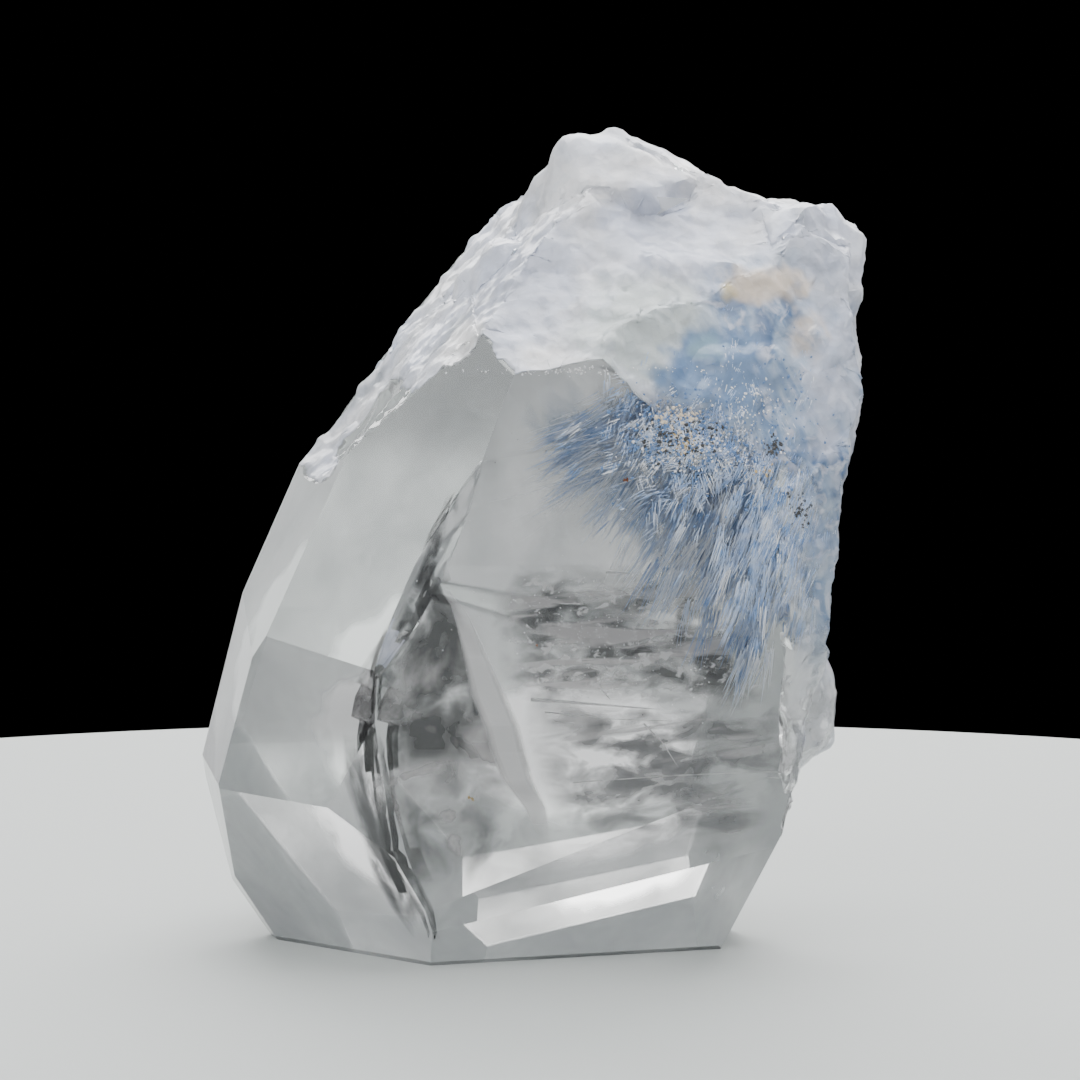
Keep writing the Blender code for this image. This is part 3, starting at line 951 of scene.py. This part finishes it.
def veilMaterial(name, tones):
    material, nodes, links, shader = newMaterial(name)
    shader.inputs["Roughness"].default_value = 0.5
    colour, alpha = None, None
    for tint, density, scale, low, high, stretch, turn in tones:
        mask = cloud(nodes, scale, low, high, detail=4.0, warp=0.5, stretch=stretch, turn=turn)
        mask = mathNode(nodes, links, "MULTIPLY", mask, density)
        if colour is None:
            colour, alpha = veilLook[tint], mask
        else:
            colour = mixColour(nodes, links, mask, colour, veilLook[tint])
            alpha = mathNode(nodes, links, "MAXIMUM", alpha, mask)
    if len(tones) > 1:
        links.new(colour, shader.inputs["Base Color"])
    else:
        shader.inputs["Base Color"].default_value = colour
    border = nodes.new("ShaderNodeAttribute")
    border.attribute_name = "fade"
    links.new(mathNode(nodes, links, "MULTIPLY", alpha, border.outputs["Fac"]), shader.inputs["Alpha"])
    return material


def makeVeil(name, softness, tones, rows):
    columns = veilLook["columns"]
    grid = []
    for upper, lower in zip(rows, rows[1:]):
        for step in range(veilLook["between"]):
            share = step / veilLook["between"]
            grid.append([first + (second - first) * share for first, second in zip(upper, lower)])
    grid.append(list(rows[-1]))
    vertices, faces, fades = [], [], []
    for row, (up, left, right, depthLeft, depthRight) in enumerate(grid):
        rowShare = row / (len(grid) - 1)
        for column in range(columns + 1):
            share = column / columns
            across = left + (right - left) * share
            ripple = noise.noise(Vector((across * 1.3, up * 1.3, len(name)))) * veilLook["ripple"]
            depth = depthLeft + (depthRight - depthLeft) * share + ripple
            place = inside(across, up, depth)
            while place is None and abs(across) > 0.1:
                across -= math.copysign(0.1, across)
                place = inside(across, up, depth)
            vertices.append(place)
            nearest = min(share, 1.0 - share, rowShare, 1.0 - rowShare)
            fades.append(min(1.0, nearest / softness))
    for row in range(len(grid) - 1):
        for column in range(columns):
            corner = row * (columns + 1) + column
            faces.append([corner, corner + columns + 1, corner + columns + 2, corner + 1])
    mesh = bpy.data.meshes.new(name)
    mesh.from_pydata(vertices, [], faces)
    mesh.attributes.new("fade", "FLOAT", "POINT").data.foreach_set("value", fades)
    mesh.materials.append(veilMaterial(name, tones))
    sheet = bpy.data.objects.new(name, mesh)
    bpy.context.scene.collection.objects.link(sheet)
    makeActive(sheet)
    wall = sheet.modifiers.new("wall", "SOLIDIFY")
    wall.thickness = veilLook["thickness"] * mm
    bpy.ops.object.modifier_apply(modifier=wall.name)
    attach(sheet, "root")


def makeVeils():
    for name, values in veilLook["sheets"].items():
        makeVeil(name, *values)
    material, nodes, links, shader = newMaterial("growthStreak")
    shader.inputs["Base Color"].default_value = (0.92, 0.91, 0.92, 1.0)
    links.new(cloud(nodes, 1.2, 0.3, 0.6), shader.inputs["Alpha"])
    strands = []
    for first, second, third, depth, width in veilLook["streaks"]:
        points = []
        for start, end in ((first, second), (second, third)):
            for step in range(4):
                place = Vector(start).lerp(Vector(end), step / 4)
                points.append(inside(place.x, place.y, depth))
        points.append(inside(third[0], third[1], depth))
        strands.append((points, width, 1.0))
    needleSurface(strands, "growth_streaks", material)


makeVeils()
print("veils made")


# Grains: ochre, cream, dark and rust specks at the knot of the fibres, and white flecks in the quartz
grainLook = {
    "kinds": {
        # name: (colour, roughness, groups); a group is (across, up, spread across, spread up, count, sizes,
        # depths inside the quartz, or None for grains on its surface)
        "white": ((0.92, 0.92, 0.94, 1.0), 0.25, (
            (3.2, 11.1, 0.6, 0.35, 420, (0.008, 0.034), None), (4.6, 11.9, 0.45, 0.45, 200, (0.010, 0.04), None),
            (1.9, 7.2, 1.5, 0.7, 320, (0.006, 0.022), (0.2, 0.9)), (1.3, 12.72, 1.4, 0.05, 140, (0.010, 0.03), None),
            (0.3, 9.6, 1.2, 0.8, 110, (0.004, 0.010), (0.02, 0.3)))),
        "blue": ((0.13, 0.24, 0.46, 1.0), 0.35, (
            (3.1, 11.4, 0.7, 0.45, 620, (0.010, 0.045), None), (4.6, 11.4, 0.8, 0.8, 420, (0.010, 0.04), None))),
        "cream": ((0.84, 0.73, 0.58, 1.0), 0.4, (
            (2.95, 11.75, 0.26, 0.10, 80, (0.015, 0.05), None), (3.15, 11.2, 0.3, 0.15, 50, (0.015, 0.045), None))),
        "ochre": ((0.62, 0.45, 0.20, 1.0), 0.5, (
            (3.2, 11.15, 0.22, 0.14, 50, (0.012, 0.04), None), (4.9, 10.6, 0.1, 0.08, 14, (0.015, 0.04), None),
            (-1.4, 3.6, 0.05, 0.05, 3, (0.03, 0.05), (1.0, 1.2)))),
        "dark": ((0.06, 0.06, 0.06, 1.0), 0.4, (
            (3.1, 11.3, 0.42, 0.22, 190, (0.012, 0.05), None), (5.1, 11.1, 0.10, 0.12, 70, (0.012, 0.05), None),
            (5.65, 9.75, 0.10, 0.16, 60, (0.012, 0.05), None), (-0.2, 10.8, 0.9, 0.5, 9, (0.008, 0.016), (0.05, 0.4)),
            (2.4, 9.2, 0.9, 0.7, 8, (0.008, 0.016), (0.05, 0.4)))),
        "rust": ((0.38, 0.13, 0.05, 1.0), 0.5, (
            (1.9, 10.38, 0.035, 0.015, 5, (0.02, 0.035), (0.02, 0.06)),
            (0.0, 6.9, 0.02, 0.02, 2, (0.02, 0.03), (0.3, 0.4)))),
    },
}


def grainMaterial(name, colour, roughness):
    material, nodes, links, shader = newMaterial("grain_" + name)
    shader.inputs["Base Color"].default_value = colour
    shader.inputs["Roughness"].default_value = roughness
    return material


def makeGrains():
    chance = random.Random(19)
    ball = bmesh.new()
    bmesh.ops.create_icosphere(ball, subdivisions=1, radius=1.0)
    corners = [vertex.co.copy() for vertex in ball.verts]
    sides = [[vertex.index for vertex in face.verts] for face in ball.faces]
    ball.free()
    for name, (colour, roughness, groups) in grainLook["kinds"].items():
        vertices, faces = [], []
        for across, up, wide, high, count, sizes, depths in groups:
            for number in range(count):
                spotAcross = chance.gauss(across, wide)
                spotUp = chance.gauss(up, high)
                if depths is None:
                    place = onSurface(spotAcross, spotUp, 0.01)
                else:
                    place = inside(spotAcross, spotUp, chance.uniform(*depths))
                if place is None:
                    continue
                size = chance.uniform(*sizes) * mm
                shape = Vector((chance.uniform(0.5, 1.5), chance.uniform(0.4, 1.0), chance.uniform(0.5, 1.2)))
                turn = Matrix.Rotation(chance.uniform(0, 2 * math.pi), 3, "Y")
                first = len(vertices)
                for corner in corners:
                    spot = corner * chance.uniform(0.75, 1.15) * shape * size
                    vertices.append(place + turn @ spot)
                faces.extend([[first + index for index in side] for side in sides])
        mesh = bpy.data.meshes.new("grains_" + name)
        mesh.from_pydata(vertices, [], faces)
        mesh.materials.append(grainMaterial(name, colour, roughness))
        grains = bpy.data.objects.new("grains_" + name, mesh)
        bpy.context.scene.collection.objects.link(grains)
        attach(grains, "root")
        print("grains_" + name, len(faces), "faces")


makeGrains()
